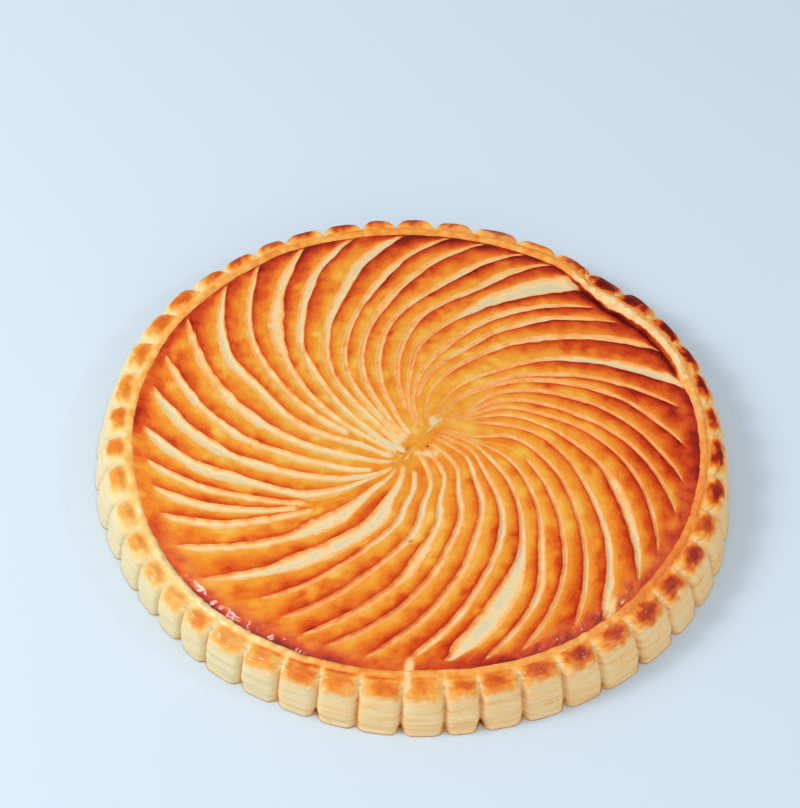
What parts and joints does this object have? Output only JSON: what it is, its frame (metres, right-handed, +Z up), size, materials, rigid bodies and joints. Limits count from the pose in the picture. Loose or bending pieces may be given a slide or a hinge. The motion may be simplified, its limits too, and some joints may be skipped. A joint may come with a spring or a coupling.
{
  "type": "galette des rois",
  "caption": "Round uncut puff pastry cake with a scalloped, nicked rim, a low flaky wall and a domed top scored with a swirl of curved slashes.",
  "frame": {"origin": "middle of the flat underside, on the surface that the cake rests on", "axes": "+Z up through the scored lid; the hub of the swirl lies a little towards -Y, and -Y is the side that faces the viewer"},
  "size_m": [0.2676, 0.2696, 0.0254],
  "materials": {
    "baked_pastry": "egg-washed puff pastry baked golden to chestnut brown on the ridges, with matt cream slashes and a pale, layered cream wall"
  },
  "bodies": {
    "root": {"pastry": "baked_pastry"}
  },
  "joints": []
}
